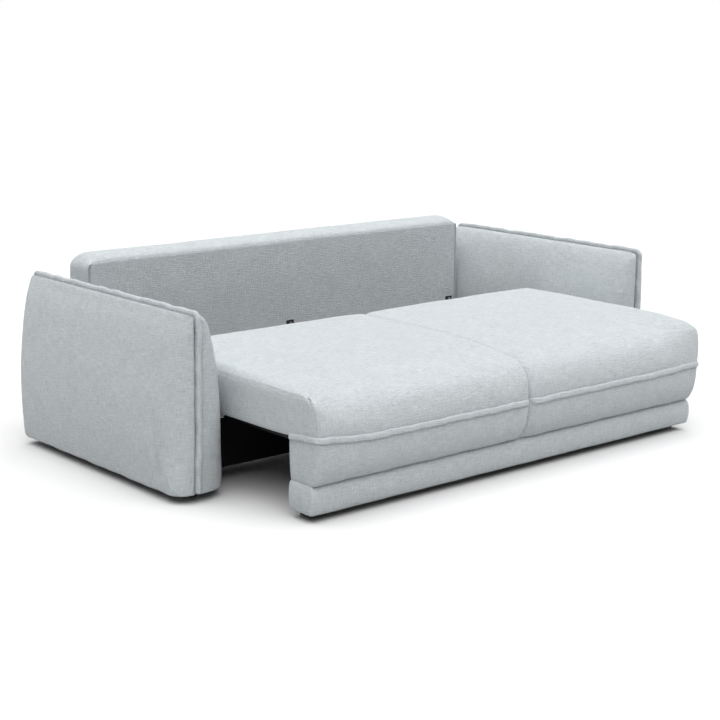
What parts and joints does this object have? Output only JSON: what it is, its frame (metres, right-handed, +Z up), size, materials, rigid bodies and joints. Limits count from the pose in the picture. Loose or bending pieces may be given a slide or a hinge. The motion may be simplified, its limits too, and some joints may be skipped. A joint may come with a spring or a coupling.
{
  "type": "sleeper sofa with pull out bed",
  "caption": "Upholstered sofa whose cushioned seat rolls forward on floor wheels and side runners, opening a slatted gap behind it that makes a bed.",
  "frame": {"origin": "on the floor, under the middle of the box round the drawn-out sofa", "axes": "+X along the sofa to the right seen from the front, +Y to its rear, +Z up; the seat draws out along -Y"},
  "size_m": [2.4998, 1.6198, 0.748],
  "materials": {
    "upholstery": "pale blue-grey melange plain weave",
    "timber": "dark-stained softwood and plywood",
    "dark_steel": "dark satin coat",
    "zinc": "bright zinc",
    "black_lining": "black non-woven lining cloth",
    "black_plastic": "matt moulded plastic",
    "nylon": "plain moulded nylon"
  },
  "bodies": {
    "sofa_base": {"right_arm_frame": "timber", "left_arm_frame": "timber", "right_arm_outer_pad": "upholstery", "left_arm_outer_pad": "upholstery", "right_arm_inner_pad": "upholstery", "left_arm_inner_pad": "upholstery", "right_arm_welt": "upholstery", "left_arm_welt": "upholstery", "right_arm_front_foot": "black_plastic", "left_arm_front_foot": "black_plastic", "right_arm_rear_foot": "black_plastic", "left_arm_rear_foot": "black_plastic", "backrest_foot": "black_plastic", "backrest_frame": "timber", "backrest_pad": "upholstery", "backrest_rear_panel": "upholstery", "left_bracket": "dark_steel", "centre_bracket": "dark_steel", "right_bracket": "dark_steel", "left_bracket_bolt": "zinc", "centre_bracket_bolt": "zinc", "right_bracket_bolt": "zinc", "right_side_board": "timber", "left_side_board": "timber", "front_cross_rail": "black_lining", "centre_joist": "timber", "deck_front_rail": "timber", "deck_rear_rail": "timber", "deck_slats": "timber", "right_track": "dark_steel", "left_track": "dark_steel", "right_track_roller_pin": "zinc", "left_track_roller_pin": "zinc"},
    "pull_out_seat": {"seat_deck_frame": "timber", "seat_webbing": "black_lining", "seat_dust_cover": "black_lining", "front_box": "black_lining", "right_seat_cushion": "upholstery", "left_seat_cushion": "upholstery", "right_front_pad": "upholstery", "left_front_pad": "upholstery", "right_seat_piping": "upholstery", "left_seat_piping": "upholstery", "plinth_pad": "upholstery", "right_runner": "dark_steel", "left_runner": "dark_steel", "right_runner_roller_pin": "zinc", "left_runner_roller_pin": "zinc", "right_wheel_housing": "black_plastic", "left_wheel_housing": "black_plastic", "right_wheel_pin": "zinc", "left_wheel_pin": "zinc"},
    "right_track_roller_body": {"right_track_roller": "nylon"},
    "left_track_roller_body": {"left_track_roller": "nylon"},
    "right_runner_roller_body": {"right_runner_roller": "nylon"},
    "left_runner_roller_body": {"left_runner_roller": "nylon"},
    "right_wheel_body": {"right_wheel": "black_plastic"},
    "left_wheel_body": {"left_wheel": "black_plastic"}
  },
  "joints": [
    {"name": "seat_slide", "type": "slide", "parent": "sofa_base", "child": "pull_out_seat", "axis": [0, -1, 0], "range_m": [-0.45, 0]},
    {"name": "right_track_roller_spin", "type": "hinge", "parent": "sofa_base", "child": "right_track_roller_body", "pos_m": [0.9367, -0.15, 0.2651], "axis": [1, 0, 0], "continuous": true},
    {"name": "left_track_roller_spin", "type": "hinge", "parent": "sofa_base", "child": "left_track_roller_body", "pos_m": [-0.9367, -0.15, 0.2651], "axis": [1, 0, 0], "continuous": true},
    {"name": "right_runner_roller_spin", "type": "hinge", "parent": "pull_out_seat", "child": "right_runner_roller_body", "pos_m": [0.9367, 0.14, 0.2581], "axis": [1, 0, 0], "continuous": true},
    {"name": "left_runner_roller_spin", "type": "hinge", "parent": "pull_out_seat", "child": "left_runner_roller_body", "pos_m": [-0.9367, 0.14, 0.2581], "axis": [1, 0, 0], "continuous": true},
    {"name": "right_wheel_spin", "type": "hinge", "parent": "pull_out_seat", "child": "right_wheel_body", "pos_m": [0.925, -0.677, 0.013], "axis": [1, 0, 0], "continuous": true},
    {"name": "left_wheel_spin", "type": "hinge", "parent": "pull_out_seat", "child": "left_wheel_body", "pos_m": [-0.925, -0.677, 0.013], "axis": [1, 0, 0], "continuous": true}
  ],
  "couplings": [
    {"joint": "right_track_roller_spin", "follows": "seat_slide", "rad_per_m": 66.667},
    {"joint": "left_track_roller_spin", "follows": "seat_slide", "rad_per_m": 66.667},
    {"joint": "right_runner_roller_spin", "follows": "seat_slide", "rad_per_m": 64.516},
    {"joint": "left_runner_roller_spin", "follows": "seat_slide", "rad_per_m": 64.516},
    {"joint": "right_wheel_spin", "follows": "seat_slide", "rad_per_m": 76.923},
    {"joint": "left_wheel_spin", "follows": "seat_slide", "rad_per_m": 76.923}
  ]
}
